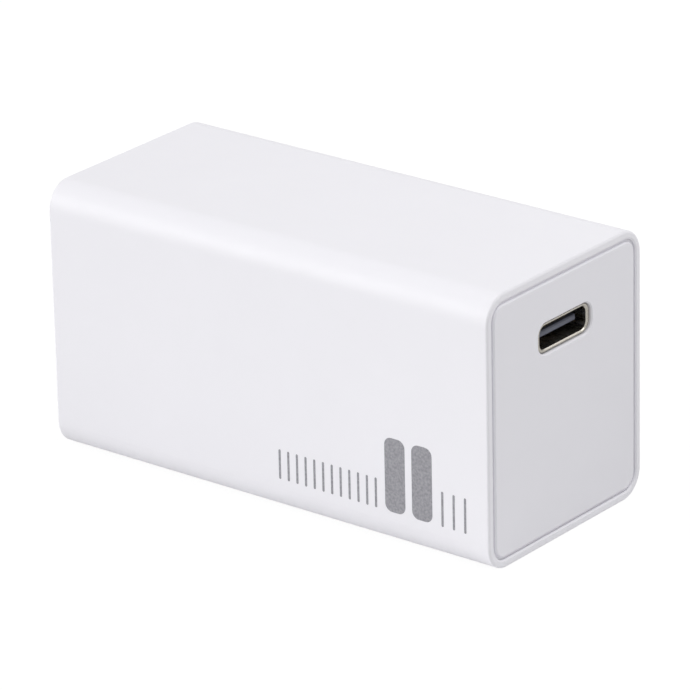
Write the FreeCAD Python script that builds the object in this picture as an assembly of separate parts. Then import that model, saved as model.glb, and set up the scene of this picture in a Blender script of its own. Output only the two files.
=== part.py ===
import FreeCAD, Part
import math
import os

# Wall charger for a laptop. Millimetres, X along the length with the socket at +X, Z up,
# origin at the middle of the underside.

# Outside of the block
length = 60.0
width = 27.5
height = 31.2
long_edge_radius = 3.1
end_edge_radius = 0.3

# Moulded sleeve and the seats of its two end panels
wall = 1.9
rim_side = 0.85
rim_top = 0.95
rim_bevel = 0.15
seat_radius = 2.0
seat_gap = 0.03
groove = 0.33
groove_depth = 0.32
panel_thickness = 1.8
panel_bevel = 0.16
insert_gap = 0.12
rib_height = 0.8
rib_width = 1.0

# Snap hooks of the end panels, and the pockets that they click into
hook_x = 25.4
hook_y = 6.0
hook_width = 4.0
hook_length = 1.0
hook_height = 0.6
pocket_spare = 0.2

# Circuit board in its rails
board_start = -17.6
board_end = 27.0
board_half_width = 11.5
board_thickness = 1.2
rail_reach = 0.95
rail_start = -17.0
rail_end = 23.4
rail_gap = 0.05
lower_rail_height = 1.1
upper_rail_height = 0.8
rail_taper = 1.5

# Port panel behind its face
skirt_depth = 4.4
skirt_wall = 1.0
skirt_side_top = 16.5
collar_depth = 1.0
collar_wall = 1.2

# USB-C socket: standard sizes, high on the port panel
port_z = 23.64
port_recess = 0.3
port_side_flat = 0.9
shell_width = 8.94
shell_height = 3.26
shell_wall = 0.3
shell_length = 7.35
lip_width = 9.4
lip_height = 3.36
lip_length = 0.35
lip_bevel = 0.1
port_hole_width = 9.5
port_hole_height = 3.56
port_hole_bevel = 0.15
tongue_width = 6.69
tongue_thickness = 0.7
tongue_recess = 1.1
tongue_corner = 0.15
tongue_base_end = 23.6
tongue_step_length = 1.2
tongue_fit = 0.02
shell_tab_half = 0.5
shell_tab_offsets = (1.4, 3.8)
contact_count = 12
contact_pitch = 0.5
contact_width = 0.25
contact_thickness = 0.05
contact_margin = 0.7

# Folding mains plug: two flat blades in a carrier that turns about Y
pivot_z = 8.4
carrier_half = 3.9
carrier_recess = 0.05
carrier_corner = 2.4
carrier_half_length = 8.9
journal_radius = 2.0
journal_end = 10.75
running_gap = 0.05
blade_spacing = 12.7
blade_thickness = 1.5
blade_width = 6.35
blade_reach = 16.0
blade_tip_radius = 1.6
blade_edge_bevel = 0.25
blade_hole_radius = 1.55
blade_hole_from_face = 11.4
blade_shoulder = 1.2
neck_half_width = 2.2
neck_depth = 1.6
heel_half_width = 1.5
heel_reach = 5.4
heel_radius = 1.2

# Cap of the plug end
cap_rear = -20.6
slot_width = 2.1
slot_gap = 0.3
pocket_radius = 4.7
pocket_half_length = 9.05
heel_slot_radius = 5.6
scoop_radius = 6.0
scoop_depth = 3.4
scoop_z = 23.4
scoop_half_length = 9.6
scoop_end_slope = 2.0
mouth_bevel = 0.2
core_depth = 4.4
core_bottom = 17.4
core_top = 27.8
core_wall = 1.1

# Cover behind the carrier, with its screws, leaf spring and contact strips
cover_front = -21.35
cover_thickness = 1.2
cover_half_width = 10.9
cover_bottom = 3.4
cover_top = 16.2
cover_gap = 0.1
cover_notch = 3.4
cover_bar = 1.1
screw_z = 14.7
screw_y = 9.4
screw_radius = 0.9
screw_length = 4.4
screw_head_radius = 1.6
screw_head_height = 0.9
leaf_thickness = 0.25
leaf_half_width = 2.4
leaf_half_height = 3.2
leaf_relief = 0.4
leaf_gap = 0.03
strip_thickness = 0.4
strip_width = 3.0
strip_bottom = 5.2
strip_bend = 0.6
strip_foot_end = -15.6

# Parts on the board
lead_half = 0.3
lead_spare = 0.1
lead_stub = 0.5
lead_root = 1.0
stand_off = 0.5
seal_gap = 0.2
case_bevel = 0.4
fuse_x = (-17.2, -13.2)
fuse_y = (2.3, 10.7)
fuse_height = 7.9
fuse_pitch = 5.0
film_x = (-17.2, -11.4)
film_y = (-10.7, 2.0)
film_height = 11.0
film_pitch = 10.0
disc_x = -11.0
disc_y = 7.0
disc_radius = 4.0
disc_thickness = 3.2
disc_pitch = 5.0
choke_x = -7.4
choke_y = -4.1
choke_side = 12.0
choke_leg = 2.8
choke_thickness = 4.4
choke_wire_layer = 0.8
choke_winding_height = 6.0
choke_lead_reach = 5.6
inductor_x = 2.0
inductor_y = 6.3
inductor_side = 8.0
inductor_corner = 1.2
inductor_post = 2.0
inductor_coil = 3.7
inductor_height = 10.0
inductor_flange = 1.2
inductor_tap_drop = 2.0
bulk_x = 2.0
bulk_y = -6.6
bulk_radius = 4.0
bulk_height = 20.0
bulk_pitch = 3.5
output_x = 24.0
output_y = 7.75
output_radius = 3.15
output_height = 8.0
output_pitch = 2.5
lying_length = 15.2
lying_start = -18.8
lying_z = 7.0
lying_y = 5.6
lying_lead_reach = 1.0
transformer_x = 13.9
transformer_gap = 1.0
core_half_x = 4.6
core_half_y = 9.6
core_plate = 2.8
core_leg = 2.4
core_height = 16.6
post_half_y = 2.4
bobbin_gap = 0.1
bobbin_wall = 0.7
bobbin_rail_half = 5.6
winding_depth = 2.2
layer_y = 2.4
flange_half_y = 5.7
flange_thickness = 0.8
pin_pitch = 3.8

# On top of the board. Each chip is its middle in X and Y, half its length and width, and its height
bridge_place = (-7.9, -4.1, 4.6, 3.4, 1.5)
bridge_leg_pitch = 5.1
switch_place = (2.2, 0.0, 4.0, 4.0, 1.0)
rectifier_place = (20.0, -8.2, 3.0, 2.5, 1.0)
controller_place = (20.5, 7.6, 2.0, 2.0, 0.8)
optocoupler_place = (13.4, 0.0, 2.3, 3.2, 1.3)
optocoupler_leg_pitch = 2.54
y_capacitor_place = (9.4, -8.2, 2.3, 1.2, 1.4)
end_cap_length = 0.6
end_cap_skin = 0.05
chip_bevel = 0.15
chip_lift = 0.1
leg_half_width = 0.3
leg_thickness = 0.25
leg_root = 0.2
leg_reach = 1.4
leg_shoulder = 0.6
leg_knee = 0.75
isolation_slot = (9.4, 6.0, 1.2, 8.0)
pad_margin = 0.6
window_margin = 0.4
sheet_x = (-15.6, 22.4)
sheet_half_width = 10.4
sheet_z = 28.2
sheet_thickness = 0.2
spreader_x = (-16.4, 23.2)
spreader_half_width = 10.0
spreader_z = 28.5
spreader_thickness = 0.4
spreader_drop = 0.9
spreader_bend = 0.3
spreader_slots_x = (-13.0, 8.6, 14.4)
spreader_slot_size = (2.0, 12.0)

pivot_x = -length / 2 + carrier_half
board_bottom = port_z + shell_height / 2
board_top = board_bottom + board_thickness
hang_z = board_bottom - stand_off
cavity_width = width - 2 * wall
cavity_height = height - 2 * wall
cavity_radius = long_edge_radius - wall
seat_width = width - 2 * rim_side
seat_height = height - 2 * rim_top
blade_places = (-blade_spacing / 2, blade_spacing / 2)
board_holes = []

# Distance below which two places count as the same
tolerance = 1e-4

V = FreeCAD.Vector
AXIS_X = V(1, 0, 0)
AXIS_Y = V(0, 1, 0)


def across_x(x):
    """Places outline points y, z in the plane at x."""
    return lambda y, z: V(x, y, z)


def across_y(y):
    """Places outline points x, z in the plane at y."""
    return lambda x, z: V(x, y, z)


def across_z(z):
    """Places outline points x, y in the plane at z."""
    return lambda x, y: V(x, y, z)


def outline(corners, place):
    """Closed face through (u, v, radius) corners, each corner rounded by its own arc."""
    stretches = []
    for index, (u, v, radius) in enumerate(corners):
        here = V(u, v, 0)
        before = corners[index - 1]
        after = corners[(index + 1) % len(corners)]
        back = (V(before[0], before[1], 0) - here).normalize()
        ahead = (V(after[0], after[1], 0) - here).normalize()
        if radius == 0:
            stretches.append((here, None, here))
            continue
        half_angle = back.getAngle(ahead) / 2
        reach = radius / math.tan(half_angle)
        inward = (back + ahead).normalize()
        middle = here + inward * (radius / math.sin(half_angle) - radius)
        stretches.append((here + back * reach, middle, here + ahead * reach))
    edges = []
    for index, (start, middle, end) in enumerate(stretches):
        previous_end = stretches[index - 1][2]
        if start.distanceToPoint(previous_end) > tolerance:
            edges.append(Part.LineSegment(place(previous_end.x, previous_end.y), place(start.x, start.y)))
        if middle is not None:
            edges.append(Part.Arc(place(start.x, start.y), place(middle.x, middle.y), place(end.x, end.y)))
    return Part.Face(Part.Wire([edge.toShape() for edge in edges]))


def rectangle(wide, high, radius, centre=(0.0, 0.0)):
    """Corners of a rounded rectangle about a centre, for outline()."""
    u, v = centre
    signs = ((-1, -1), (1, -1), (1, 1), (-1, 1))
    return [(u + sign_u * wide / 2, v + sign_v * high / 2, radius) for sign_u, sign_v in signs]


def bar(x_start, x_end, wide, high, radius, centre_z=height / 2, centre_y=0.0):
    """Rounded-rectangle bar along X."""
    face = outline(rectangle(wide, high, radius, (centre_y, centre_z)), across_x(x_start))
    return face.extrude(V(x_end - x_start, 0, 0))


def block(x_range, y_range, z_range):
    """Square-edged block between three pairs of limits."""
    sizes = [limits[1] - limits[0] for limits in (x_range, y_range, z_range)]
    return Part.makeBox(*sizes, V(x_range[0], y_range[0], z_range[0]))


def edges_in_plane(shape, axis, position):
    """Edges that lie wholly in the plane across an axis, 0 for X, 1 for Y or 2 for Z."""
    found = []
    for edge in shape.Edges:
        box = edge.BoundBox
        low = (box.XMin, box.YMin, box.ZMin)[axis]
        high = (box.XMax, box.YMax, box.ZMax)[axis]
        if abs(low - position) < tolerance and abs(high - position) < tolerance:
            found.append(edge)
    return found


def mouth_edges(shape, x, half_width, half_height):
    """Edges in the end plane at x that stay within a rectangle about the middle of the block."""
    found = []
    for edge in edges_in_plane(shape, 0, x):
        box = edge.BoundBox
        reach_y = max(-box.YMin, box.YMax)
        reach_z = max(height / 2 - box.ZMin, box.ZMax - height / 2)
        if reach_y < half_width and reach_z < half_height:
            found.append(edge)
    return found


def round_off(shape, x, radius):
    """Rounds the outer edges of the end face at x in three flat steps, at 22.5, 45 and 67.5 degrees."""
    middle_bevel = (2 - math.sqrt(2)) * radius
    side_bevel = (1 - math.tan(math.pi / 16)) * radius - middle_bevel
    shape = shape.makeChamfer(middle_bevel, edges_in_plane(shape, 0, x))
    behind = x - math.copysign(middle_bevel, x)
    return shape.makeChamfer(side_bevel, edges_in_plane(shape, 0, x) + edges_in_plane(shape, 0, behind))


def upright_edges(shape):
    """Straight edges that run along Z."""
    boxes = [(edge, edge.BoundBox) for edge in shape.Edges]
    return [edge for edge, box in boxes if box.XLength < tolerance and box.YLength < tolerance]


def hook_outline(end, z, outward):
    """Corners of a snap hook in X and Z: square side to the panel, ramp to the middle of the block."""
    root = z - outward * insert_gap
    tip = z + outward * (hook_height - insert_gap)
    stop = end * (hook_x + hook_length / 2)
    ramp = end * (hook_x - hook_length / 2)
    return [(stop, root, 0), (stop, tip, 0), (ramp, root, 0)]


def hooks(end, rear_height):
    """The four snap hooks on the top and the underside of one end panel's insert."""
    wedges = []
    for outward in (-1, 1):
        z = height / 2 + outward * rear_height / 2
        for y in (-hook_y, hook_y):
            face = outline(hook_outline(end, z, outward), across_y(y - hook_width / 2))
            wedges.append(face.extrude(V(0, hook_width, 0)))
    return wedges


def panel_plate(end):
    """Flat panel of one end: a flange that fits its seat, and a smaller bevelled face outside it."""
    outer = end * length / 2
    step = end * (length / 2 - groove_depth)
    inner = end * (length / 2 - panel_thickness)
    flange = bar(inner, step, seat_width - 2 * seat_gap, seat_height - 2 * seat_gap, seat_radius - seat_gap)
    face = bar(step, outer, seat_width - 2 * groove, seat_height - 2 * groove, seat_radius - groove)
    face = face.makeChamfer(panel_bevel, edges_in_plane(face, 0, outer))
    return flange.fuse(face)


def board_rail(side, z_low, z_high):
    """Rail on one side wall, with sloped ends that lead the board in."""
    root = side * (cavity_width / 2 + wall / 2)
    crest = side * (cavity_width / 2 - rail_reach)
    corners = [
        (rail_start - rail_taper, root, 0),
        (rail_end, root, 0),
        (rail_end, crest, 0),
        (rail_start, crest, 0),
    ]
    return outline(corners, across_z(z_low)).extrude(V(0, 0, z_high - z_low))


def make_housing_sleeve():
    """One-piece moulded sleeve: rounded long edges, a stepped seat at each end, rails and ribs inside."""
    sleeve = bar(-length / 2, length / 2, width, height, long_edge_radius)
    for end in (-1, 1):
        sleeve = round_off(sleeve, end * length / 2, end_edge_radius)
    sleeve = sleeve.cut(bar(-length / 2, length / 2, cavity_width, cavity_height, cavity_radius))
    for end in (-1, 1):
        outer = end * length / 2
        inner = end * (length / 2 - panel_thickness)
        sleeve = sleeve.cut(bar(inner, outer, seat_width, seat_height, seat_radius))
        rim = mouth_edges(sleeve, outer, seat_width / 2 + rim_bevel, seat_height / 2 + rim_bevel)
        sleeve = sleeve.makeChamfer(rim_bevel, rim)
    rails = []
    for side in (-1, 1):
        rails.append(board_rail(side, board_bottom - rail_gap - lower_rail_height, board_bottom - rail_gap))
        rails.append(board_rail(side, board_top + rail_gap, board_top + rail_gap + upper_rail_height))
    for y in (-cavity_width / 4, 0.0, cavity_width / 4):
        ribs_x = (rail_start, rail_end)
        rails.append(block(ribs_x, (y - rib_width / 2, y + rib_width / 2), (wall / 2, wall + rib_height)))
    sleeve = sleeve.multiFuse(rails)
    for end in (-1, 1):
        middle = end * hook_x
        half_length = hook_length / 2 + pocket_spare
        pocket_x = (middle - half_length, middle + half_length)
        for y in (-hook_y, hook_y):
            pocket_y = (y - hook_width / 2 - pocket_spare, y + hook_width / 2 + pocket_spare)
            sleeve = sleeve.cut(block(pocket_x, pocket_y, (wall - hook_height - pocket_spare, wall)))
            top = height - wall
            sleeve = sleeve.cut(block(pocket_x, pocket_y, (top, top + hook_height + pocket_spare)))
    return sleeve.removeSplitter()


def socket_bar(x_start, x_end, wide, high):
    """Bar along X about the middle of the socket, rounded so that each side keeps a short flat."""
    return bar(x_start, x_end, wide, high, (high - port_side_flat) / 2, port_z)


def make_port_panel():
    """Panel of the socket end: bevelled face, skirt with snap hooks, collar round the socket."""
    back = length / 2 - panel_thickness
    rear_width = cavity_width - 2 * insert_gap
    rear_height = cavity_height - 2 * insert_gap
    skirt = bar(back, back - skirt_depth, rear_width, rear_height, cavity_radius - insert_gap)
    inner_width = rear_width - 2 * skirt_wall
    inner_height = rear_height - 2 * skirt_wall
    skirt = skirt.cut(bar(back, back - skirt_depth, inner_width, inner_height, 0))
    board_notch = (skirt_side_top, board_top + 2 * upper_rail_height)
    skirt = skirt.cut(block((back - skirt_depth, back), (-width, width), board_notch))
    collar_width = port_hole_width + 2 * collar_wall
    collar_height = port_hole_height + 2 * collar_wall
    collar = bar(back - collar_depth, back, collar_width, collar_height, 0, port_z)
    floor_z = wall + insert_gap + skirt_wall / 2
    ribs = []
    rib_x = (back - collar_depth, back)
    rib_top = port_z - collar_height / 2 - rib_width
    for y in (-cavity_width / 4, cavity_width / 4):
        ribs.append(block(rib_x, (y - rib_width / 2, y + rib_width / 2), (floor_z, rib_top)))
    side_y = rear_width / 2 - skirt_wall / 2
    ribs.append(block(rib_x, (-side_y, side_y), (height / 3, height / 3 + rib_width)))
    panel = panel_plate(1).multiFuse([skirt, collar] + ribs + hooks(1, rear_height))
    panel = panel.cut(socket_bar(back - collar_depth, length / 2, port_hole_width, port_hole_height))
    panel = panel.removeSplitter()
    mouth = mouth_edges(panel, length / 2, port_hole_width, port_z - height / 2 + port_hole_height)
    return panel.makeChamfer(port_hole_bevel, mouth)


def turned(radius, y_start, y_end):
    """Cylinder on the pivot axis of the plug."""
    return Part.makeCylinder(radius, y_end - y_start, V(pivot_x, y_start, pivot_z), AXIS_Y)


def carrier_room():
    """Everything that is open round the carrier, its journals and the heels of the blades."""
    rear = (pivot_x, cap_rear)
    pocket_y = (-pocket_half_length, pocket_half_length)
    room = [
        turned(pocket_radius, *pocket_y),
        block(rear, pocket_y, (pivot_z - pocket_radius, pivot_z + pocket_radius)),
    ]
    saddle_radius = journal_radius + running_gap
    saddle_end = journal_end + 2 * running_gap
    room.append(turned(saddle_radius, -saddle_end, saddle_end))
    saddle_z = (pivot_z - saddle_radius, pivot_z + saddle_radius)
    room.append(block(rear, (-saddle_end, saddle_end), saddle_z))
    for y in blade_places:
        slot_y = (y - slot_width / 2, y + slot_width / 2)
        heel_front = pivot_x - heel_half_width - slot_gap
        room.append(block((heel_front, cap_rear), slot_y, (pivot_z - heel_slot_radius, pivot_z)))
    return room


def finger_scoop():
    """Round-bottomed hollow with sloped ends across the blade tips, where a finger gets hold of them."""
    face_x = -length / 2
    centre = V(face_x - scoop_radius + scoop_depth, -width, scoop_z)
    trough = Part.makeCylinder(scoop_radius, 2 * width, centre, AXIS_Y)
    floor_half = scoop_half_length - scoop_end_slope
    mouth_half = scoop_half_length + scoop_end_slope
    corners = [
        (face_x - scoop_depth, -mouth_half, 0),
        (face_x + scoop_depth, -floor_half, 0),
        (face_x + scoop_depth, floor_half, 0),
        (face_x - scoop_depth, mouth_half, 0),
    ]
    ends = outline(corners, across_z(scoop_z - scoop_radius)).extrude(V(0, 0, 2 * scoop_radius))
    return trough.common(ends)


def make_plug_end_cap():
    """Cap of the plug end: blade slots, carrier pocket with journal saddles, scoop, cored-out back."""
    face_x = -length / 2
    back = face_x + panel_thickness
    rear_width = cavity_width - 2 * insert_gap
    rear_height = cavity_height - 2 * insert_gap
    body = bar(back, cap_rear, rear_width, rear_height, cavity_radius - insert_gap)
    cap = panel_plate(-1).multiFuse([body] + hooks(-1, rear_height))
    cuts = carrier_room()
    slot_floor = pivot_x + blade_width / 2 + slot_gap
    slot_top = pivot_z + carrier_half + blade_reach + slot_gap
    for y in blade_places:
        slot_y = (y - slot_width / 2, y + slot_width / 2)
        cuts.append(block((face_x, slot_floor), slot_y, (pivot_z, slot_top)))
        open_z = (pivot_z - blade_width / 2 - slot_gap, pivot_z)
        cuts.append(block((face_x, pivot_x), slot_y, open_z))
    cuts.append(finger_scoop())
    between = blade_spacing / 2 - slot_width / 2 - core_wall
    outside = blade_spacing / 2 + slot_width / 2 + core_wall
    edge_y = rear_width / 2 - core_wall
    core_z = (core_bottom + core_top) / 2
    core_height = core_top - core_bottom
    core_end = cap_rear - core_depth
    for side in (-1, 1):
        inner_y = side * (between + rib_width / 2) / 2
        inner_width = between - rib_width / 2
        cuts.append(bar(cap_rear, core_end, inner_width, core_height, 0, core_z, inner_y))
        outer_y = side * (outside + edge_y) / 2
        cuts.append(bar(cap_rear, core_end, edge_y - outside, core_height, 0, core_z, outer_y))
    recess_y = cover_half_width + cover_gap
    recess_z = (cover_bottom - cover_gap, cover_top + cover_gap)
    cuts.append(block((cover_front, cap_rear), (-recess_y, recess_y), recess_z))
    for y in (-screw_y, screw_y):
        cuts.append(Part.makeCylinder(screw_radius, screw_length, V(cover_front, y, screw_z), AXIS_X * -1))
    for cut in cuts:
        cap = cap.cut(cut)
    cap = cap.removeSplitter()
    mouths = mouth_edges(cap, face_x, scoop_half_length + mouth_bevel, seat_height / 2 - 2 * groove)
    return cap.makeChamfer(mouth_bevel, mouths)


def make_carrier_cover():
    """Comb-shaped cover: it closes the journal saddles and leaves the heels and strips their room."""
    rear = cover_front + cover_thickness
    x_range = (cover_front, rear)
    cover = block(x_range, (-cover_half_width, cover_half_width), (cover_bottom, cover_top))
    saddle_radius = journal_radius + running_gap
    arm_half_height = saddle_radius - running_gap
    arm_start = pocket_half_length
    for side in (-1, 1):
        arm_y = sorted((side * (arm_start + running_gap), side * journal_end))
        arm = block((pivot_x, cover_front), arm_y, (pivot_z - arm_half_height, pivot_z + arm_half_height))
        cover = cover.fuse(arm.cut(turned(saddle_radius, -width, width)))
    for y in blade_places:
        notch_y = (y - cover_notch / 2, y + cover_notch / 2)
        cover = cover.cut(block(x_range, notch_y, (cover_bottom + cover_bar, cover_top)))
    for y in (-screw_y, screw_y):
        start = V(cover_front, y, screw_z)
        cover = cover.cut(Part.makeCylinder(screw_radius + cover_gap, cover_thickness, start, AXIS_X))
    relief_y = (-leaf_half_width - cover_gap, leaf_half_width + cover_gap)
    relief_half = leaf_half_height + cover_gap
    relief_z = (pivot_z - relief_half, pivot_z + relief_half)
    return cover.cut(block((cover_front, cover_front + leaf_relief), relief_y, relief_z)).removeSplitter()


def make_cover_screws():
    """Two pan-head self-tapping screws."""
    screws = []
    tip_x = cover_front + cover_thickness - screw_length
    head_x = cover_front + cover_thickness
    for y in (-screw_y, screw_y):
        shank = Part.makeCylinder(screw_radius, screw_length, V(tip_x, y, screw_z), AXIS_X)
        head = Part.makeCylinder(screw_head_radius, screw_head_height, V(head_x, y, screw_z), AXIS_X)
        screws.append(shank.fuse(head))
    return Part.makeCompound(screws)


def make_detent_spring():
    """Bowed leaf that bears on the flat of the carrier, with both its ends on the cover."""
    foot_x = cover_front + leaf_relief - leaf_thickness
    crest_x = pivot_x + carrier_half - carrier_recess + leaf_gap
    front = [
        V(foot_x, -leaf_half_width, pivot_z - leaf_half_height),
        V(crest_x, -leaf_half_width, pivot_z),
        V(foot_x, -leaf_half_width, pivot_z + leaf_half_height),
    ]
    rear = [point + AXIS_X * leaf_thickness for point in front]
    edges = [
        Part.Arc(*front),
        Part.LineSegment(front[2], rear[2]),
        Part.Arc(*reversed(rear)),
        Part.LineSegment(rear[0], front[0]),
    ]
    face = Part.Face(Part.Wire([edge.toShape() for edge in edges]))
    return face.extrude(V(0, 2 * leaf_half_width, 0))


def make_blade(y):
    """Flat plug blade, drawn folded: rounded tip, hole, shoulders and neck in the carrier, contact heel."""
    tip = carrier_half + blade_reach
    half = blade_width / 2
    right_side = [
        (half, tip, blade_tip_radius),
        (half, blade_shoulder, 0),
        (neck_half_width, blade_shoulder, 0),
        (neck_half_width, -neck_depth, 0),
        (heel_half_width, -neck_depth, 0),
        (heel_half_width, -heel_reach, heel_radius),
    ]
    left_side = [(-u, v, radius) for u, v, radius in reversed(right_side)]
    corners = [(pivot_x + u, pivot_z + v, radius) for u, v, radius in right_side + left_side]
    blade = outline(corners, across_y(y - blade_thickness / 2)).extrude(V(0, blade_thickness, 0))
    outer_edges = []
    for side in (-1, 1):
        for edge in edges_in_plane(blade, 1, y + side * blade_thickness / 2):
            if edge.BoundBox.ZMin > pivot_z + blade_shoulder + 0.5 * half:
                outer_edges.append(edge)
    blade = blade.makeChamfer(blade_edge_bevel, outer_edges)
    hole_z = pivot_z + carrier_half + blade_hole_from_face
    hole_start = V(pivot_x, y - blade_thickness, hole_z)
    return blade.cut(Part.makeCylinder(blade_hole_radius, 2 * blade_thickness, hole_start, AXIS_Y))


def make_blade_carrier():
    """Rounded-square insulating bar with turned journals, moulded round the necks of the blades."""
    side = 2 * (carrier_half - carrier_recess)
    corners = rectangle(side, side, carrier_corner, (pivot_x, pivot_z))
    carrier = outline(corners, across_y(-carrier_half_length)).extrude(V(0, 2 * carrier_half_length, 0))
    carrier = carrier.fuse(turned(journal_radius, -journal_end, journal_end))
    for y in blade_places:
        carrier = carrier.cut(make_blade(y))
    return carrier.removeSplitter()


def make_contact_strip(y):
    """Spring strip from the heel of a blade, up the back of the cap, to a foot under the board."""
    front = cap_rear
    rear = front + strip_thickness
    foot_bottom = board_bottom - strip_thickness
    corners = [
        (front, strip_bottom, 0),
        (rear, strip_bottom, 0),
        (rear, foot_bottom, strip_bend),
        (strip_foot_end, foot_bottom, 0),
        (strip_foot_end, board_bottom, 0),
        (front, board_bottom, strip_bend + strip_thickness),
    ]
    return outline(corners, across_y(y - strip_width / 2)).extrude(V(0, strip_width, 0))


def around(x, y, half):
    """Limits in X and Y of a square about a point."""
    return (x - half, x + half), (y - half, y + half)


def lead(x, y, z_start, half=lead_half):
    """Square lead from z_start up through the board. Its hole in the board is noted too."""
    board_holes.append((x, y, half + lead_spare))
    return block(*around(x, y, half), (z_start, board_top + lead_stub))


def bevelled_block(x_range, y_range, z_range, bevel):
    """Block with all its edges bevelled."""
    shape = block(x_range, y_range, z_range)
    return shape.makeChamfer(bevel, shape.Edges)


def make_boxed_part(x_range, y_range, tall, pitch):
    """Part in a bevelled case that hangs under the board on two leads, such as a fuse or a film capacitor."""
    body = bevelled_block(x_range, y_range, (hang_z - tall, hang_z), case_bevel)
    x = sum(x_range) / 2
    middle_y = sum(y_range) / 2
    leads = [lead(x, middle_y + offset, hang_z - lead_root) for offset in (-pitch / 2, pitch / 2)]
    return body.multiFuse(leads)


def make_thermistor():
    """Disc-shaped coated part that stands across X on two leads."""
    centre_z = hang_z - disc_radius
    start = V(disc_x - disc_thickness / 2, disc_y, centre_z)
    disc = Part.makeCylinder(disc_radius, disc_thickness, start, AXIS_X)
    root_z = centre_z + math.sqrt(disc_radius ** 2 - (disc_pitch / 2) ** 2) - lead_root
    leads = [lead(disc_x, disc_y + offset, root_z) for offset in (-disc_pitch / 2, disc_pitch / 2)]
    return disc.multiFuse(leads)


def choke_centre_z():
    """Height of the choke's middle, just under the board."""
    return hang_z - choke_side / 2 - choke_wire_layer


def make_choke_core():
    """Square ferrite frame that stands across X."""
    start_x = choke_x - choke_thickness / 2
    centre = (choke_y, choke_centre_z())
    window = choke_side - 2 * choke_leg
    frame = outline(rectangle(choke_side, choke_side, 0, centre), across_x(start_x))
    opening = outline(rectangle(window, window, 0, centre), across_x(start_x))
    return frame.cut(opening).extrude(V(choke_thickness, 0, 0))


def make_choke_windings():
    """Two windings on opposite legs of the frame, each with its two leads up to the board."""
    windings = []
    low = choke_centre_z() - choke_winding_height / 2
    wide = choke_thickness + 2 * choke_wire_layer
    deep = choke_leg + 2 * choke_wire_layer
    for side in (-1, 1):
        centre = (choke_x, choke_y + side * (choke_side - choke_leg) / 2)
        outside = outline(rectangle(wide, deep, 0, centre), across_z(low))
        outside = outside.extrude(V(0, 0, choke_winding_height))
        outside = outside.makeChamfer(choke_wire_layer / 2, upright_edges(outside))
        leg = outline(rectangle(choke_thickness, choke_leg, 0, centre), across_z(low))
        pieces = []
        for end in (-1, 1):
            x = choke_x + end * (choke_thickness + choke_wire_layer) / 2
            root_z = low + choke_winding_height - lead_root
            pieces.append(lead(x, choke_y + side * choke_lead_reach, root_z, choke_wire_layer / 2))
        winding = outside.cut(leg.extrude(V(0, 0, choke_winding_height)))
        windings.append(winding.multiFuse(pieces).removeSplitter())
    return Part.makeCompound(windings)


def make_inductor_core():
    """Drum core with a square flange at each end of its round post."""
    low = hang_z - inductor_height
    core = Part.makeCylinder(inductor_post, inductor_height, V(inductor_x, inductor_y, low))
    for z in (low, hang_z - inductor_flange):
        square = rectangle(inductor_side, inductor_side, 0, (inductor_x, inductor_y))
        flange = outline(square, across_z(z)).extrude(V(0, 0, inductor_flange))
        core = core.fuse(flange.makeChamfer(inductor_corner, upright_edges(flange)))
    return core.removeSplitter()


def make_inductor_winding():
    """Winding between the flanges of the drum, with two leads beside the top flange."""
    low = hang_z - inductor_height + inductor_flange
    high = hang_z - inductor_flange
    start = V(inductor_x, inductor_y, low)
    winding = Part.makeCylinder(inductor_coil, high - low, start)
    winding = winding.cut(Part.makeCylinder(inductor_post, high - low, start))
    tap_z = high - inductor_tap_drop
    pieces = []
    for side in (-1, 1):
        x = inductor_x + side * (inductor_side / 2 + lead_half + lead_spare)
        pieces.append(lead(x, inductor_y, tap_z))
        tap_x = sorted((inductor_x + side * (inductor_coil - lead_half), x))
        tap_y = (inductor_y - lead_half, inductor_y + lead_half)
        pieces.append(block(tap_x, tap_y, (tap_z, tap_z + 2 * lead_half)))
    return winding.multiFuse(pieces)


def make_standing_capacitor(x, y, radius, tall, pitch):
    """Capacitor can under the board with its seal and its leads upward."""
    top = board_bottom - seal_gap
    can = Part.makeCylinder(radius, tall, V(x, y, top - tall))
    leads = [lead(x, y + offset, top - seal_gap) for offset in (-pitch / 2, pitch / 2)]
    return can.multiFuse(leads)


def bent_lead(x_start, y, z_start):
    """Lead that leaves a lying can along X and turns up through the board in one sharp bend."""
    upright_x = x_start + lying_lead_reach
    board_holes.append((upright_x, y, lead_half + lead_spare))
    corners = [
        (x_start - lead_half, z_start - lead_half, 0),
        (upright_x + lead_half, z_start - lead_half, 0),
        (upright_x + lead_half, board_top + lead_stub, 0),
        (upright_x - lead_half, board_top + lead_stub, 0),
        (upright_x - lead_half, z_start + lead_half, 0),
        (x_start - lead_half, z_start + lead_half, 0),
    ]
    return outline(corners, across_y(y - lead_half)).extrude(V(0, 2 * lead_half, 0))


def make_lying_capacitor(y):
    """Bulk capacitor that lies along X below the input parts."""
    can = Part.makeCylinder(bulk_radius, lying_length, V(lying_start, y, lying_z), AXIS_X)
    leads = []
    for offset in (-bulk_pitch / 2, bulk_pitch / 2):
        leads.append(bent_lead(lying_start + lying_length, y + offset, lying_z))
    return can.multiFuse(leads)


def make_transformer_core():
    """Two E-shaped ferrite halves that meet in the middle, each drawn as one outline with its three legs."""
    top = hang_z - transformer_gap
    middle = top - core_height / 2
    halves = []
    for direction in (-1, 1):
        outer = middle + direction * core_height / 2
        root = outer - direction * core_plate
        corners = [(-core_half_y, middle, 0), (-core_half_y, outer, 0), (core_half_y, outer, 0)]
        corners += [(core_half_y, middle, 0), (core_half_y - core_leg, middle, 0)]
        corners += [(core_half_y - core_leg, root, 0), (post_half_y, root, 0), (post_half_y, middle, 0)]
        corners += [(-post_half_y, middle, 0), (-post_half_y, root, 0)]
        corners += [(core_leg - core_half_y, root, 0), (core_leg - core_half_y, middle, 0)]
        half = outline(corners, across_x(transformer_x - core_half_x))
        halves.append(half.extrude(V(2 * core_half_x, 0, 0)))
    return Part.makeCompound(halves)


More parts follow.
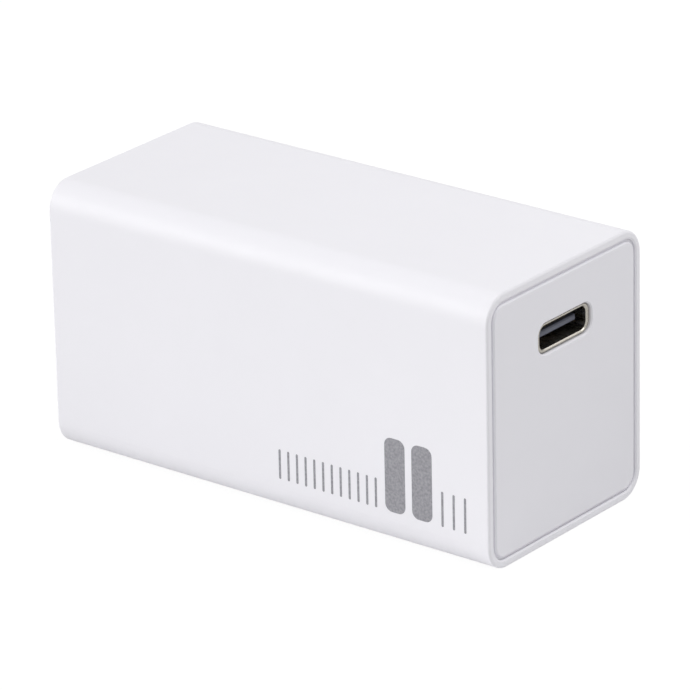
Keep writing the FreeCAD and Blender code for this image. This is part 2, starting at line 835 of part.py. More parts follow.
def column(half_x, half_y, radius, z_low, z_high):
    """Upright rounded column about the middle of the transformer."""
    face = outline(rectangle(2 * half_x, 2 * half_y, radius, (transformer_x, 0.0)), across_z(z_low))
    return face.extrude(V(0, 0, z_high - z_low))


def make_transformer_bobbin():
    """Moulded bobbin: square tube and two flanges on the centre post, pin rails and pins at its top."""
    top = hang_z - transformer_gap - core_plate - bobbin_gap
    low = top - core_height + 2 * core_plate + 2 * bobbin_gap
    tube_x = core_half_x + bobbin_gap + bobbin_wall
    tube_y = post_half_y + bobbin_gap + bobbin_wall
    flange_x = tube_x + winding_depth
    body = column(tube_x, tube_y, 0, low, top)
    flanges = [
        column(flange_x, flange_half_y, 0, low, low + flange_thickness),
        column(flange_x, flange_half_y, 0, top - flange_thickness, top),
    ]
    body = body.multiFuse(flanges)
    for side in (-1, 1):
        rail_x = sorted((transformer_x + side * (core_half_x + bobbin_gap), transformer_x + side * flange_x))
        rail = block(rail_x, (-bobbin_rail_half, bobbin_rail_half), (top - flange_thickness, hang_z))
        body = body.fuse(rail)
        pin_x = sum(rail_x) / 2
        pins = [lead(pin_x, y, hang_z - transformer_gap) for y in (-pin_pitch, 0.0, pin_pitch)]
        body = body.multiFuse(pins)
    return body.cut(column(core_half_x + bobbin_gap, post_half_y + bobbin_gap, 0, low, top)).removeSplitter()


def make_transformer_winding():
    """Winding between the flanges of the bobbin, rounded at its four corners."""
    top = hang_z - transformer_gap - core_plate - bobbin_gap - flange_thickness
    low = top - core_height + 2 * core_plate + 2 * bobbin_gap + 2 * flange_thickness
    tube_x = core_half_x + bobbin_gap + bobbin_wall
    tube_y = post_half_y + bobbin_gap + bobbin_wall
    layer = winding_depth - 2 * bobbin_gap
    winding = column(tube_x + layer, tube_y + layer_y, layer, low, top)
    return winding.cut(column(tube_x, tube_y, 0, low, top))


def chip(x, y, half_x, half_y, tall):
    """Flat moulded package on top of the board, with a bevelled top."""
    package = block((x - half_x, x + half_x), (y - half_y, y + half_y), (board_top, board_top + tall))
    return package.makeChamfer(chip_bevel, edges_in_plane(package, 2, board_top + tall))


def make_y_capacitor(x, y, half_x, half_y, tall):
    """Ceramic block from the mains side to the output side, with a metal cap over each end."""
    x_range = (x - half_x + end_cap_skin, x + half_x - end_cap_skin)
    body = block(x_range, (y - half_y, y + half_y), (board_top + end_cap_skin, board_top + tall))
    for side in (-1, 1):
        cap_x = sorted((x + side * half_x, x + side * (half_x - end_cap_length)))
        cap_y = (y - half_y - end_cap_skin, y + half_y + end_cap_skin)
        cap_z = (board_top, board_top + tall + end_cap_skin)
        body = body.fuse(bevelled_block(cap_x, cap_y, cap_z, 2 * end_cap_skin))
    return body


def make_leg(x, root, side, body_z):
    """Gull-wing leg from the side of a package, bent down to the board."""
    inner_knee = leg_knee - leg_thickness
    inner_shoulder = leg_shoulder - leg_root
    corners = [
        (root - side * leg_root, body_z + leg_thickness, 0),
        (root + side * leg_shoulder, body_z + leg_thickness, 0),
        (root + side * leg_knee, board_top + leg_thickness, 0),
        (root + side * leg_reach, board_top + leg_thickness, 0),
        (root + side * leg_reach, board_top, 0),
        (root + side * inner_knee, board_top, 0),
        (root + side * inner_shoulder, body_z, 0),
        (root - side * leg_root, body_z, 0),
    ]
    return outline(corners, across_x(x - leg_half_width)).extrude(V(2 * leg_half_width, 0, 0))


def make_legged_chip(x, y, half_x, half_y, tall, pitch):
    """Package that stands a little off the board on two gull-wing legs a side."""
    body = chip(x, y, half_x, half_y, tall)
    body.translate(V(0, 0, chip_lift))
    legs = []
    for side in (-1, 1):
        for offset in (-pitch / 2, pitch / 2):
            legs.append(make_leg(x + offset, y + side * half_y, side, board_top + tall / 2))
    return body.multiFuse(legs)


def make_usb_shell():
    """Drawn steel shell of the socket with a flared front lip, closed back and four board tabs."""
    front = length / 2 - port_recess
    rear = front - shell_length
    mouth_width = shell_width - 2 * shell_wall
    mouth_height = shell_height - 2 * shell_wall
    shell = socket_bar(rear, front, shell_width, shell_height)
    shell = shell.fuse(socket_bar(front - lip_length, front, lip_width, lip_height))
    shell = shell.cut(socket_bar(rear + shell_wall, front, mouth_width, mouth_height)).removeSplitter()
    shell = shell.makeChamfer(lip_bevel, edges_in_plane(shell, 0, front))
    for offset in shell_tab_offsets:
        tab_x = (rear + offset - shell_tab_half, rear + offset + shell_tab_half)
        for side in (-1, 1):
            tab_y = sorted((side * (shell_width / 2 - shell_wall), side * shell_width / 2))
            shell = shell.fuse(block(tab_x, tab_y, (port_z, board_top + lead_stub)))
    return shell.removeSplitter()


def tab_slots():
    """Openings in the board for the tabs of the socket's shell."""
    rear = length / 2 - port_recess - shell_length
    half_x = shell_tab_half + lead_spare
    half_y = shell_wall / 2 + lead_spare
    slots = []
    for offset in shell_tab_offsets:
        slot_x = (rear + offset - half_x, rear + offset + half_x)
        for side in (-1, 1):
            middle_y = side * (shell_width - shell_wall) / 2
            slots.append(block(slot_x, (middle_y - half_y, middle_y + half_y), (board_bottom, board_top)))
    return slots


def make_usb_tongue():
    """Moulded base block in the back of the shell and the tongue that carries the contacts."""
    rear = length / 2 - port_recess - shell_length + shell_wall
    inner_width = shell_width - 2 * shell_wall - 2 * tongue_fit
    inner_height = shell_height - 2 * shell_wall - 2 * tongue_fit
    base = socket_bar(rear, tongue_base_end, inner_width, inner_height)
    step_end = tongue_base_end + tongue_step_length
    step = bar(tongue_base_end, step_end, tongue_width, 2 * tongue_thickness, 0, port_z)
    tip = length / 2 - tongue_recess
    tongue = bar(tongue_base_end, tip, tongue_width, tongue_thickness, 0, port_z)
    tongue = tongue.makeChamfer(tongue_corner, edges_in_plane(tongue, 0, tip))
    return base.multiFuse([step, tongue]).removeSplitter()


def make_usb_contacts():
    """Rows of contact strips on the upper and lower side of the tongue."""
    strips = []
    start = tongue_base_end + tongue_step_length + contact_thickness
    x_range = (start, length / 2 - tongue_recess - contact_margin)
    for side in (-1, 1):
        surface = port_z + side * tongue_thickness / 2
        z_range = sorted((surface, surface + side * contact_thickness))
        for index in range(contact_count):
            y = (index - (contact_count - 1) / 2) * contact_pitch
            strips.append(block(x_range, (y - contact_width / 2, y + contact_width / 2), z_range))
    return Part.makeCompound(strips)


def hot_parts():
    """Footprint and top of the parts that a thermal pad covers."""
    return [
        bridge_place[:4] + (board_top + chip_lift + bridge_place[4],),
        switch_place[:4] + (board_top + switch_place[4],),
        rectifier_place[:4] + (board_top + rectifier_place[4],),
    ]


def make_thermal_pads():
    """Soft pads between the hot parts and the heat spreader."""
    pads = []
    for x, y, half_x, half_y, top in hot_parts():
        x_range = (x - half_x + pad_margin, x + half_x - pad_margin)
        y_range = (y - half_y + pad_margin, y + half_y - pad_margin)
        pads.append(block(x_range, y_range, (top, spreader_z)))
    return Part.makeCompound(pads)


def make_insulating_sheet():
    """Thin sheet over the board with a window for each pad."""
    z_range = (sheet_z, sheet_z + sheet_thickness)
    sheet = block(sheet_x, (-sheet_half_width, sheet_half_width), z_range)
    for place in hot_parts():
        x, y, half_x, half_y = place[:4]
        window_x = (x - half_x + window_margin, x + half_x - window_margin)
        window_y = (y - half_y + window_margin, y + half_y - window_margin)
        sheet = sheet.cut(block(window_x, window_y, z_range))
    return sheet


def make_heat_spreader():
    """Aluminium plate with turned-down ends and pressed stiffening slots."""
    start, end = spreader_x
    top = spreader_z + spreader_thickness
    lip_z = spreader_z - spreader_drop
    corners = [
        (start, lip_z, 0),
        (start, top, spreader_bend + spreader_thickness),
        (end, top, spreader_bend + spreader_thickness),
        (end, lip_z, 0),
        (end - spreader_thickness, lip_z, 0),
        (end - spreader_thickness, spreader_z, spreader_bend),
        (start + spreader_thickness, spreader_z, spreader_bend),
        (start + spreader_thickness, lip_z, 0),
    ]
    plate = outline(corners, across_y(-spreader_half_width)).extrude(V(0, 2 * spreader_half_width, 0))
    for x in spreader_slots_x:
        slot = outline(rectangle(*spreader_slot_size, 0, (x, 0.0)), across_z(spreader_z))
        plate = plate.cut(slot.extrude(V(0, 0, spreader_thickness)))
    return plate


def make_main_board():
    """Circuit board with its isolation slot and a hole for every lead and tab that passes it."""
    z_range = (board_bottom, board_top)
    board = block((board_start, board_end), (-board_half_width, board_half_width), z_range)
    slot_x, slot_y, slot_wide, slot_long = isolation_slot
    slot = outline(rectangle(slot_wide, slot_long, 0, (slot_x, slot_y)), across_z(board_bottom))
    openings = [slot.extrude(V(0, 0, board_thickness))]
    for x, y, half in board_holes:
        openings.append(block(*around(x, y, half), z_range))
    for opening in openings + tab_slots():
        board = board.cut(opening)
    return board


def make_output_capacitors():
    """Two polymer capacitors beside the socket."""
    capacitors = []
    for y in (-output_y, output_y):
        capacitors.append(make_standing_capacitor(output_x, y, output_radius, output_height, output_pitch))
    return Part.makeCompound(capacitors)


parts = {
    "housing_sleeve": make_housing_sleeve(),
    "port_panel": make_port_panel(),
    "plug_end_cap": make_plug_end_cap(),
    "carrier_cover": make_carrier_cover(),
    "cover_screws": make_cover_screws(),
    "detent_spring": make_detent_spring(),
    "blade_carrier": make_blade_carrier(),
    "blade_live": make_blade(blade_places[0]),
    "blade_neutral": make_blade(blade_places[1]),
    "live_contact": make_contact_strip(blade_places[0]),
    "neutral_contact": make_contact_strip(blade_places[1]),
    "fuse": make_boxed_part(fuse_x, fuse_y, fuse_height, fuse_pitch),
    "inrush_thermistor": make_thermistor(),
    "x_capacitor": make_boxed_part(film_x, film_y, film_height, film_pitch),
    "choke_core": make_choke_core(),
    "choke_windings": make_choke_windings(),
    "inductor_core": make_inductor_core(),
    "inductor_winding": make_inductor_winding(),
    "bulk_capacitor_1": make_lying_capacitor(-lying_y),
    "bulk_capacitor_2": make_lying_capacitor(lying_y),
    "bulk_capacitor_3": make_standing_capacitor(bulk_x, bulk_y, bulk_radius, bulk_height, bulk_pitch),
    "bridge_rectifier": make_legged_chip(*bridge_place, bridge_leg_pitch),
    "power_switch": chip(*switch_place),
    "transformer_core": make_transformer_core(),
    "transformer_bobbin": make_transformer_bobbin(),
    "transformer_winding": make_transformer_winding(),
    "y_capacitor": make_y_capacitor(*y_capacitor_place),
    "optocoupler": make_legged_chip(*optocoupler_place, optocoupler_leg_pitch),
    "rectifier_mosfet": chip(*rectifier_place),
    "port_controller": chip(*controller_place),
    "output_capacitors": make_output_capacitors(),
    "usb_shell": make_usb_shell(),
    "usb_tongue": make_usb_tongue(),
    "usb_contacts": make_usb_contacts(),
    "insulating_sheet": make_insulating_sheet(),
    "thermal_pads": make_thermal_pads(),
    "heat_spreader": make_heat_spreader(),
}
parts["main_board"] = make_main_board()

os.makedirs("parts", exist_ok=True)
for node, shape in parts.items():
    shape.exportStep("parts/" + node + ".step")
    print(node, "valid" if shape.isValid() else "NOT VALID", len(shape.Solids), round(shape.Volume, 1))
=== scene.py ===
import bmesh
import bpy
import math
from mathutils import Matrix, Vector


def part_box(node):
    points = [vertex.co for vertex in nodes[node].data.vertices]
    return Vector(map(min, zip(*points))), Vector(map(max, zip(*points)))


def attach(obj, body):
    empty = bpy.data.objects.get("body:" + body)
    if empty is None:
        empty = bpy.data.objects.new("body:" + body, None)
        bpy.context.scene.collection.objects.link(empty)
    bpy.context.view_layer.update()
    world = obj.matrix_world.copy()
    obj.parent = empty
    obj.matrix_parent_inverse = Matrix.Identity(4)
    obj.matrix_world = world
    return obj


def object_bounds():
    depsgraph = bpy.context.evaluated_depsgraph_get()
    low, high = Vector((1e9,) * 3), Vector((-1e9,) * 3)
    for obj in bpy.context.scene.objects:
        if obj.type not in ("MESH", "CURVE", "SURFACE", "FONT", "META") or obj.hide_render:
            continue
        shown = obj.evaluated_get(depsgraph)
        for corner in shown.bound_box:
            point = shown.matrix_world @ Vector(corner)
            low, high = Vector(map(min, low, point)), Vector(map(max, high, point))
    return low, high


# Wall charger for a laptop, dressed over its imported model. All lengths are in metres.

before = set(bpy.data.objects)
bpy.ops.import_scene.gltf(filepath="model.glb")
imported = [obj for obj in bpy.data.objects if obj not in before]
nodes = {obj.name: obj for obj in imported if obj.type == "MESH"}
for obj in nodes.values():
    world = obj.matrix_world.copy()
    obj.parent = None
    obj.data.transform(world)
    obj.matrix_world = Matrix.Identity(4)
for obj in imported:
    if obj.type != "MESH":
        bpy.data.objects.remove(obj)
cad_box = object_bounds()

mm = 0.001
micron = 0.001 * mm

# Camera, fitted to the outline of the block in the photograph
view_azimuth = math.radians(38.578)
view_elevation = math.radians(22.095)
view_roll = math.radians(-1.244)
view_distance = 599.1 * mm
view_shift_right = 0.184 * mm
view_shift_up = -0.798 * mm
lens = 286.3
sensor = 36.0
nearest_seen = 0.05
farthest_seen = 20.0

# Light
world_strength = 0.45
top_lamp_place = (0.28, 0.2, 0.55)
top_lamp_size = 0.5
top_lamp_power = 1.98
front_lamp_place = (-0.46, -0.6, 0.31)
front_lamp_aim = (0.1, 0, 0)
front_lamp_size = 0.62
front_lamp_power = 0.8
front_lamp_spread = math.radians(60)

# Floor, a little below the block so that the two never share a plane
floor_half_width = 3.0
floor_drop = 0.01 * mm
floor_colour = (0.8, 0.8, 0.8, 1)
background_share = 0.85
background_strength = 1.08

# Printed marks on the front: an even row of thin strokes, two bold bars, three thin strokes
ink_thickness = 0.012 * mm
print_low = 4.15 * mm
stroke_width = 0.29 * mm
stroke_corner = 0.45 * stroke_width
row_count = 12
row_left = 1.7 * mm
row_right = 15.1 * mm
row_top = 7.6 * mm
bold_lefts = (16.2 * mm, 19.8 * mm)
bold_width = 2.7 * mm
bold_top = 12.7 * mm
bold_corner = 0.9 * mm
last_lefts = (23.7 * mm, 25.2 * mm, 26.7 * mm)
last_top = 8.2 * mm
corner_steps = 6

# Tinned leads
tin = (0.66, 0.67, 0.69)
tin_roughness = 0.25
lying_can_top = 11.1 * mm
lead_margin = 0.1 * mm

# Circuit board: squarish patches, each with tracks one way or the other, or poured copper
patch_size = 7 * mm
track_pitch = 0.9 * mm
track_edge = (0.5, 0.62)
crosswise_above = 0.5
poured_above = 0.65

# Values between which nearly all of a pattern lies: one noise, two multiplied, two added
noise_span = (0.3, 0.7)
product_span = (0.12, 0.4)
sum_span = (0.7, 1.2)
full_span = (0.0, 1.0)

# The wave texture multiplies its coordinate by this, besides its scale
wave_factor = 20

# Places of the Mix node's sockets for each kind of value: first, second, result
mix_sockets = {"FLOAT": (2, 3, 0), "RGBA": (6, 7, 2)}

# Moulded plastics by slot: name, two colours, lowest and highest roughness, size and depth of grain
mouldings = {
    "white_housing": (
        "satin_white", (0.84, 0.832, 0.872), (0.832, 0.824, 0.864), (0.45, 0.55),
        0.22 * mm, 2.2 * micron,
    ),
    "white_panel": (
        "grained_white", (0.82, 0.812, 0.855), (0.812, 0.804, 0.847), (0.48, 0.6),
        0.26 * mm, 4 * micron,
    ),
    "carrier_plastic": (
        "carrier_white", (0.785, 0.778, 0.814), (0.77, 0.763, 0.799), (0.42, 0.55),
        0.3 * mm, 5 * micron,
    ),
    "black_insulator": (
        "dark_insulator", (0.075, 0.083, 0.12), (0.058, 0.065, 0.096), (0.3, 0.45),
        0.1 * mm, 2 * micron,
    ),
    "chip_package": (
        "moulded_epoxy", (0.03, 0.03, 0.032), (0.016, 0.016, 0.018), (0.55, 0.75),
        0.08 * mm, 4 * micron,
    ),
}

# Drawn or rolled metals by slot: name, bright and dull colour, lowest and highest roughness,
# and the scale of the pattern's coordinates, which is small along the drawing lines
metals = {
    "plated_brass": (
        "nickel_plated_blade", (0.75, 0.735, 0.705), (0.65, 0.63, 0.59), (0.208, 0.351),
        (1, 1, 0.06),
    ),
    "steel": (
        "zinc_plated_steel", (0.62, 0.64, 0.67), (0.45, 0.46, 0.48), (0.256, 0.432),
        (0.3, 1, 1),
    ),
    # Socket shell: warm nickel whose two colours are darkened well below bare metal, painted shade
    # for the dark surroundings it reflects in its recess; the stains between them are the metal's
    # own
    "nickel_shell": (
        "warm_nickel_painted_shade", (0.46, 0.436, 0.39), (0.35, 0.33, 0.295), (0.192, 0.324),
        (0.08, 1, 1),
    ),
    "gold_contact": (
        "gold_plating", (0.9, 0.66, 0.28), (0.72, 0.5, 0.2), (0.16, 0.27),
        (0.1, 1, 1),
    ),
    "aluminium_sheet": (
        "rolled_aluminium", (0.76, 0.77, 0.78), (0.69, 0.7, 0.71), (0.288, 0.486),
        (0.05, 1, 1),
    ),
}


def add_node(tree, kind, inputs=None, **properties):
    """Adds a node. Inputs are given by name or number, as a value or as another node's output."""
    node = tree.nodes.new(kind)
    for label, value in properties.items():
        setattr(node, label, value)
    for label, value in (inputs or {}).items():
        if isinstance(value, bpy.types.NodeSocket):
            tree.links.new(value, node.inputs[label])
        else:
            node.inputs[label].default_value = value
    return node


class Recipe:
    """A Principled material under construction, with lengths in metres in the part's own frame."""

    def __init__(self, name, **settings):
        self.material = bpy.data.materials.new(name)
        self.material.use_nodes = True
        self.tree = self.material.node_tree
        self.shader = self.tree.nodes["Principled BSDF"]
        self.place = self.add("ShaderNodeTexCoord").outputs["Object"]
        for label, value in settings.items():
            self.shader.inputs[label.replace("_", " ")].default_value = value

    def add(self, kind, inputs=None, **properties):
        """Adds a node to this material."""
        return add_node(self.tree, kind, inputs, **properties)

    def noise(self, size, detail=2.0, stretch=(1, 1, 1), distortion=0.0):
        """Noise whose blobs are about size across where stretch is 1."""
        place = self.add("ShaderNodeMapping", {"Vector": self.place, "Scale": stretch})
        values = {"Vector": place.outputs["Vector"], "Scale": 1 / size}
        values.update({"Detail": detail, "Distortion": distortion})
        return self.add("ShaderNodeTexNoise", values).outputs["Fac"]

    def cells(self, size, **properties):
        """Outputs of a pattern of cells that are about size across."""
        values = {"Vector": self.place, "Scale": 1 / size}
        return self.add("ShaderNodeTexVoronoi", values, **properties).outputs

    def bands(self, pitch, direction, distortion=0.0):
        """Even bands across one axis."""
        scale = 2 * math.pi / (wave_factor * pitch)
        values = {"Vector": self.place, "Scale": scale, "Distortion": distortion}
        node = self.add("ShaderNodeTexWave", values, wave_type="BANDS", bands_direction=direction)
        return node.outputs["Fac"]

    def along(self, axis):
        """One coordinate in the part's own frame."""
        return self.add("ShaderNodeSeparateXYZ", {"Vector": self.place}).outputs[axis]

    def calculate(self, operation, first, second):
        """Result of one sum or comparison of two numbers."""
        values = {0: first, 1: second}
        return self.add("ShaderNodeMath", values, operation=operation).outputs[0]

    def choose(self, share, first, second, kind="FLOAT"):
        """The first value where share is 0, the second where it is 1."""
        first_socket, second_socket, result = mix_sockets[kind]
        values = {0: share, first_socket: first, second_socket: second}
        return self.add("ShaderNodeMix", values, data_type=kind).outputs[result]

    def ranged(self, factor, low, high, span=noise_span):
        """A number that goes from low to high as the factor crosses the span."""
        start, end = span
        values = {"Value": factor, "From Min": start, "From Max": end}
        values.update({"To Min": low, "To Max": high})
        return self.add("ShaderNodeMapRange", values).outputs["Result"]

    def colours(self, factor, first, last, span=noise_span):
        """A colour that goes from first to last as the factor crosses the span."""
        node = self.add("ShaderNodeValToRGB", {"Fac": factor})
        for stop, position, colour in zip(node.color_ramp.elements, span, (first, last)):
            stop.position = position
            stop.color = (*colour, 1.0)
        return node.outputs["Color"]

    def bump(self, height, depth, under=None):
        """Normal of a relief that is depth from its lowest to its highest place."""
        values = {"Height": height, "Distance": depth, "Strength": 1.0}
        if under is not None:
            values["Normal"] = under
        return self.add("ShaderNodeBump", values).outputs["Normal"]

    def feed(self, label, output):
        """Links an output into the shader."""
        self.tree.links.new(output, self.shader.inputs[label])

    def feed_with_leads(self, colour, roughness, metal, leads):
        """Feeds colour, roughness and metal, and bright tin where leads is 1."""
        self.feed("Base Color", self.choose(leads, colour, (*tin, 1.0), "RGBA"))
        self.feed("Roughness", self.choose(leads, roughness, tin_roughness))
        self.feed("Metallic", self.choose(leads, metal, 1.0))

    def lead_ends(self):
        """1 from the underside of the circuit board up, where only the ends of leads reach."""
        return self.calculate("GREATER_THAN", self.along("Z"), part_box("main_board")[0].z)


def moulded(name, light, shade, roughness, grain, grain_depth):
    """Moulded plastic: fine spark-eroded grain, worn gloss, and broad, faint flow marks."""
    recipe = Recipe(name, IOR=1.52)
    flow = recipe.noise(9 * mm, detail=3.0, distortion=0.6)
    recipe.feed("Base Color", recipe.colours(flow, shade, light))
    fine = recipe.noise(grain, detail=4.0)
    gloss = recipe.calculate("MULTIPLY", fine, recipe.noise(1.6 * mm))
    recipe.feed("Roughness", recipe.ranged(gloss, *roughness, product_span))
    waves = recipe.bump(recipe.noise(5 * mm), 1.5 * micron)
    recipe.feed("Normal", recipe.bump(fine, grain_depth, waves))
    return recipe.material


def drawn_metal(name, bright, dull, roughness, stretch):
    """Sheet metal with drawing lines along one direction, faint stains and fine scratches."""
    recipe = Recipe(name, Metallic=1.0)
    lines = recipe.noise(0.12 * mm, detail=5.0, stretch=stretch)
    stain = recipe.noise(2.4 * mm, detail=4.0, distortion=0.8)
    mixed = recipe.calculate("ADD", lines, stain)
    tone = recipe.ranged(mixed, 0.0, 1.0, sum_span)
    recipe.feed("Base Color", recipe.colours(tone, dull, bright, full_span))
    recipe.feed("Roughness", recipe.ranged(mixed, *roughness, sum_span))
    shorter = [3 * part for part in stretch]
    scratches = recipe.noise(0.5 * mm, detail=6.0, stretch=shorter, distortion=0.3)
    relief = recipe.bump(lines, 1.5 * micron)
    recipe.feed("Normal", recipe.bump(scratches, 2.5 * micron, relief))
    return recipe.material


def component_case():
    """Ochre case of film capacitors and bobbins, with tinned leads."""
    recipe = Recipe("component_case")
    tone = recipe.noise(4 * mm, detail=3.0, distortion=0.6)
    grain = recipe.noise(0.3 * mm, detail=4.0)
    ochre = recipe.colours(tone, (0.42, 0.29, 0.06), (0.5, 0.36, 0.09))
    recipe.feed_with_leads(ochre, recipe.ranged(grain, 0.4, 0.6), 0.0, recipe.lead_ends())
    recipe.feed("Normal", recipe.bump(grain, 6 * micron))
    return recipe.material


def ferrite():
    """Sintered black ceramic with open pores and worn, lighter patches."""
    recipe = Recipe("sintered_ferrite")
    pores = recipe.cells(0.25 * mm)["Distance"]
    patches = recipe.noise(1.8 * mm, detail=5.0)
    black, worn = (0.03, 0.03, 0.033), (0.075, 0.073, 0.072)
    recipe.feed("Base Color", recipe.colours(patches, black, worn, (0.35, 0.7)))
    recipe.feed("Roughness", recipe.ranged(patches, 0.5, 0.8))
    recipe.feed("Normal", recipe.bump(pores, 12 * micron))
    return recipe.material


def copper_winding():
    """Close turns of enamelled wire, with tinned ends."""
    recipe = Recipe("enamelled_wire", Coat_Weight=0.6, Coat_Roughness=0.12)
    turns = recipe.bands(0.42 * mm, "Z", 0.25)
    stain = recipe.noise(1.5 * mm, detail=3.0)
    copper = recipe.colours(stain, (0.5, 0.17, 0.06), (0.72, 0.3, 0.12))
    recipe.feed_with_leads(copper, recipe.ranged(stain, 0.22, 0.4), 0.85, recipe.lead_ends())
    recipe.feed("Normal", recipe.bump(turns, 120 * micron))
    return recipe.material


def capacitor_can():
    """Heat-shrunk sleeve with faint wrinkles over an aluminium can, with tinned leads."""
    recipe = Recipe("shrunk_sleeve", Coat_Weight=0.35, Coat_Roughness=0.2)
    tone = recipe.noise(3 * mm, detail=3.0)
    sleeve = recipe.colours(tone, (0.02, 0.035, 0.075), (0.035, 0.055, 0.11))
    lying_cans_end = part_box("bulk_capacitor_1")[1].x + lead_margin
    beside = recipe.calculate("LESS_THAN", recipe.along("X"), lying_cans_end)
    rising = recipe.calculate("GREATER_THAN", recipe.along("Z"), lying_can_top)
    lying_leads = recipe.calculate("MULTIPLY", beside, rising)
    leads = recipe.calculate("MAXIMUM", lying_leads, recipe.lead_ends())
    recipe.feed_with_leads(sleeve, recipe.ranged(tone, 0.3, 0.48), 0.0, leads)
    wrinkles = recipe.noise(1.2 * mm, detail=4.0, stretch=(0.4, 1, 1), distortion=1.2)
    recipe.feed("Normal", recipe.bump(wrinkles, 30 * micron))
    return recipe.material


def insulating_film():
    """Yellowish polyester film with soft ripples."""
    recipe = Recipe("polyester_film", Coat_Weight=0.5, Coat_Roughness=0.1)
    ripples = recipe.noise(6 * mm, distortion=0.5)
    recipe.feed("Base Color", recipe.colours(ripples, (0.72, 0.7, 0.58), (0.8, 0.78, 0.68)))
    recipe.feed("Roughness", recipe.ranged(ripples, 0.22, 0.4))
    recipe.feed("Normal", recipe.bump(ripples, 100 * micron))
    return recipe.material


def thermal_pad():
    """Soft filled silicone."""
    recipe = Recipe("filled_silicone")
    filler = recipe.cells(0.2 * mm)["Distance"]
    dark, light = (0.2, 0.24, 0.32), (0.29, 0.33, 0.42)
    recipe.feed("Base Color", recipe.colours(filler, dark, light, (0.1, 0.7)))
    recipe.feed("Roughness", recipe.ranged(filler, 0.7, 0.9, (0.1, 0.8)))
    recipe.feed("Normal", recipe.bump(filler, 20 * micron))
    return recipe.material


def circuit_board():
    """Green mask over straight copper tracks and poured patches."""
    recipe = Recipe("board_mask", Coat_Weight=0.4, Coat_Roughness=0.15)
    patches = recipe.cells(patch_size, distance="CHEBYCHEV")
    draws = recipe.add("ShaderNodeSeparateColor", {"Color": patches["Color"]}).outputs
    crosswise = recipe.calculate("GREATER_THAN", draws["Red"], crosswise_above)
    poured = recipe.calculate("GREATER_THAN", draws["Green"], poured_above)
    rows, columns = recipe.bands(track_pitch, "Y"), recipe.bands(track_pitch, "X")
    lines = recipe.ranged(recipe.choose(crosswise, rows, columns), 0.0, 1.0, track_edge)
    copper = recipe.calculate("MAXIMUM", lines, poured)
    bare, covered = (0.008, 0.07, 0.028), (0.02, 0.13, 0.05)
    recipe.feed("Base Color", recipe.colours(copper, bare, covered, full_span))
    weave = recipe.noise(0.4 * mm, detail=3.0)
    recipe.feed("Roughness", recipe.ranged(weave, 0.3, 0.45))
    recipe.feed("Normal", recipe.bump(copper, 20 * micron, recipe.bump(weave, 4 * micron)))
    return recipe.material


def printed_ink():
    """Grey pad-printed ink with a fine speckle and thinner patches."""
    recipe = Recipe("grey_ink")
    speckle = recipe.noise(0.3 * mm, detail=5.0)
    dark, light = (0.235, 0.233, 0.254), (0.345, 0.341, 0.37)
    recipe.feed("Base Color", recipe.colours(speckle, dark, light, (0.35, 0.65)))
    recipe.feed("Roughness", recipe.ranged(speckle, 0.5, 0.7))
    recipe.feed("Normal", recipe.bump(speckle, 2 * micron))
    return recipe.material


def dress_nodes():
    """Gives each CAD node the material that its slot in the record asks for."""
    finishes = {slot: moulded(*look) for slot, look in mouldings.items()}
    finishes.update({slot: drawn_metal(*look) for slot, look in metals.items()})
    finishes["component_case"] = component_case()
    finishes["ferrite"] = ferrite()
    finishes["copper_winding"] = copper_winding()
    finishes["capacitor_can"] = capacitor_can()
    finishes["insulating_film"] = insulating_film()
    finishes["thermal_pad"] = thermal_pad()
    finishes["circuit_board"] = circuit_board()
    for node in nodes.values():
        for entry in node.material_slots:
            entry.material = finishes[entry.material.name.split(".")[0]]


def rounded_bar(mesh, left, width, top, corner, face_y):
    """Adds one printed bar with rounded corners, standing proud of the front face."""
    near, far = left + corner, left + width - corner
    low, high = print_low + corner, top - corner
    front = []
    for x, z, start in ((far, low, -90), (far, high, 0), (near, high, 90), (near, low, 180)):
        for step in range(corner_steps + 1):
            angle = math.radians(start + 90 * step / corner_steps)
            across, up = corner * math.cos(angle), corner * math.sin(angle)
            front.append(mesh.verts.new((x + across, face_y - ink_thickness, z + up)))
    face = mesh.faces.new(front)
    sides = bmesh.ops.extrude_face_region(mesh, geom=[face])
    for vertex in (item for item in sides["geom"] if isinstance(item, bmesh.types.BMVert)):
        vertex.co.y = face_y


def front_print():
    """Printed marks low on the front face, in grey ink."""
    face_y = cad_box[0].y
    mesh = bmesh.new()
    pitch = (row_right - row_left - stroke_width) / (row_count - 1)
    row_lefts = [row_left + index * pitch for index in range(row_count)]
    for left in row_lefts:
        rounded_bar(mesh, left, stroke_width, row_top, stroke_corner, face_y)
    for left in bold_lefts:
        rounded_bar(mesh, left, bold_width, bold_top, bold_corner, face_y)
    for left in last_lefts:
        rounded_bar(mesh, left, stroke_width, last_top, stroke_corner, face_y)
    bmesh.ops.recalc_face_normals(mesh, faces=mesh.faces)
    data = bpy.data.meshes.new("front_print")
    mesh.to_mesh(data)
    mesh.free()
    piece = bpy.data.objects.new("front_print", data)
    bpy.context.scene.collection.objects.link(piece)
    data.materials.append(printed_ink())
    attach(piece, "charger")


def seen_directly(tree):
    """1 for rays that the camera, a gloss or a clear surface sends, and otherwise 0."""
    path = add_node(tree, "ShaderNodeLightPath").outputs
    total = path["Is Camera Ray"]
    for label in ("Is Glossy Ray", "Is Transmission Ray"):
        either = add_node(tree, "ShaderNodeMath", {0: total, 1: path[label]}, operation="MAXIMUM")
        total = either.outputs[0]
    return total


def white_surroundings():
    """White world that lights the object evenly and is seen as plain white."""
    world = bpy.data.worlds.new("surroundings")
    bpy.context.scene.world = world
    world.use_nodes = True
    tree = world.node_tree
    background = tree.nodes["Background"]
    background.inputs["Color"].default_value = (1, 1, 1, 1)
    values = {"Value": seen_directly(tree), "To Min": world_strength, "To Max": 1.0}
    strength = add_node(tree, "ShaderNodeMapRange", values)
    tree.links.new(strength.outputs["Result"], background.inputs["Strength"])


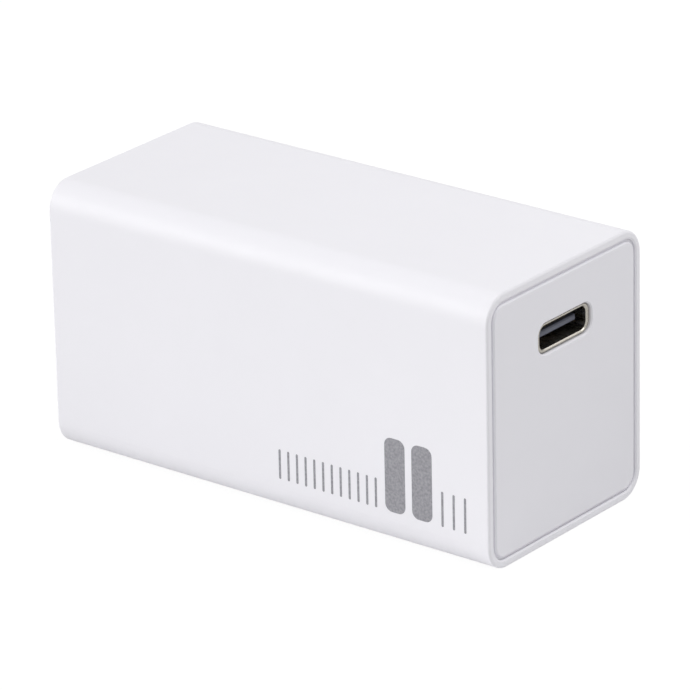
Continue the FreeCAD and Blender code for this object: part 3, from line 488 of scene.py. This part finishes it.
def pale_floor():
    """White floor that keeps a faint shadow of the block."""
    half = floor_half_width
    corners = [(-half, -half, 0), (half, -half, 0), (half, half, 0), (-half, half, 0)]
    data = bpy.data.meshes.new("floor")
    data.from_pydata(corners, [], [(0, 1, 2, 3)])
    floor = bpy.data.objects.new("floor", data)
    floor.location.z = -floor_drop
    bpy.context.scene.collection.objects.link(floor)
    material = bpy.data.materials.new("floor_white")
    material.use_nodes = True
    tree = material.node_tree
    tree.nodes.remove(tree.nodes["Principled BSDF"])
    matt = add_node(tree, "ShaderNodeBsdfDiffuse", {"Color": floor_colour}).outputs[0]
    glow = add_node(tree, "ShaderNodeEmission", {"Strength": background_strength}).outputs[0]
    values = {0: seen_directly(tree), 1: background_share}
    share = add_node(tree, "ShaderNodeMath", values, operation="MULTIPLY").outputs[0]
    mixed = add_node(tree, "ShaderNodeMixShader", {0: share, 1: matt, 2: glow}).outputs[0]
    tree.links.new(mixed, tree.nodes["Material Output"].inputs["Surface"])
    data.materials.append(material)


def soft_lamp(name, place, target, size, power, spread=math.pi):
    """Square softbox that faces a point."""
    lamp = bpy.data.lights.new(name, "AREA")
    lamp.shape = "SQUARE"
    lamp.size = size
    lamp.energy = power
    lamp.spread = spread
    holder = bpy.data.objects.new(name, lamp)
    bpy.context.scene.collection.objects.link(holder)
    holder.location = place
    holder.rotation_euler = (Vector(target) - Vector(place)).to_track_quat("-Z", "Y").to_euler()


def studio_lamps(centre):
    """A softbox overhead, nearer to the socket end, and one in front, nearer to the plug end."""
    soft_lamp("top_softbox", top_lamp_place, centre, top_lamp_size, top_lamp_power)
    soft_lamp(
        "front_softbox", front_lamp_place, centre + Vector(front_lamp_aim),
        front_lamp_size, front_lamp_power, front_lamp_spread,
    )


def aim_camera(centre):
    """Long lens at the photograph's viewing angle."""
    back = Vector((
        math.sin(view_azimuth) * math.cos(view_elevation),
        -math.cos(view_azimuth) * math.cos(view_elevation),
        math.sin(view_elevation),
    ))
    level = Vector((math.cos(view_azimuth), math.sin(view_azimuth), 0))
    upright = back.cross(level)
    right = level * math.cos(view_roll) + upright * math.sin(view_roll)
    up = upright * math.cos(view_roll) - level * math.sin(view_roll)
    data = bpy.data.cameras.new("camera")
    data.lens = lens
    data.sensor_width = sensor
    data.clip_start = nearest_seen
    data.clip_end = farthest_seen
    camera = bpy.data.objects.new("camera", data)
    bpy.context.scene.collection.objects.link(camera)
    place = centre + right * view_shift_right + up * view_shift_up + back * view_distance
    turn = Matrix((right, up, back)).transposed().to_4x4()
    camera.matrix_world = Matrix.Translation(place) @ turn
    bpy.context.scene.camera = camera


centre = (cad_box[0] + cad_box[1]) / 2
dress_nodes()
front_print()
white_surroundings()
pale_floor()
studio_lamps(centre)
aim_camera(centre)
bpy.context.scene.view_settings.view_transform = "Standard"
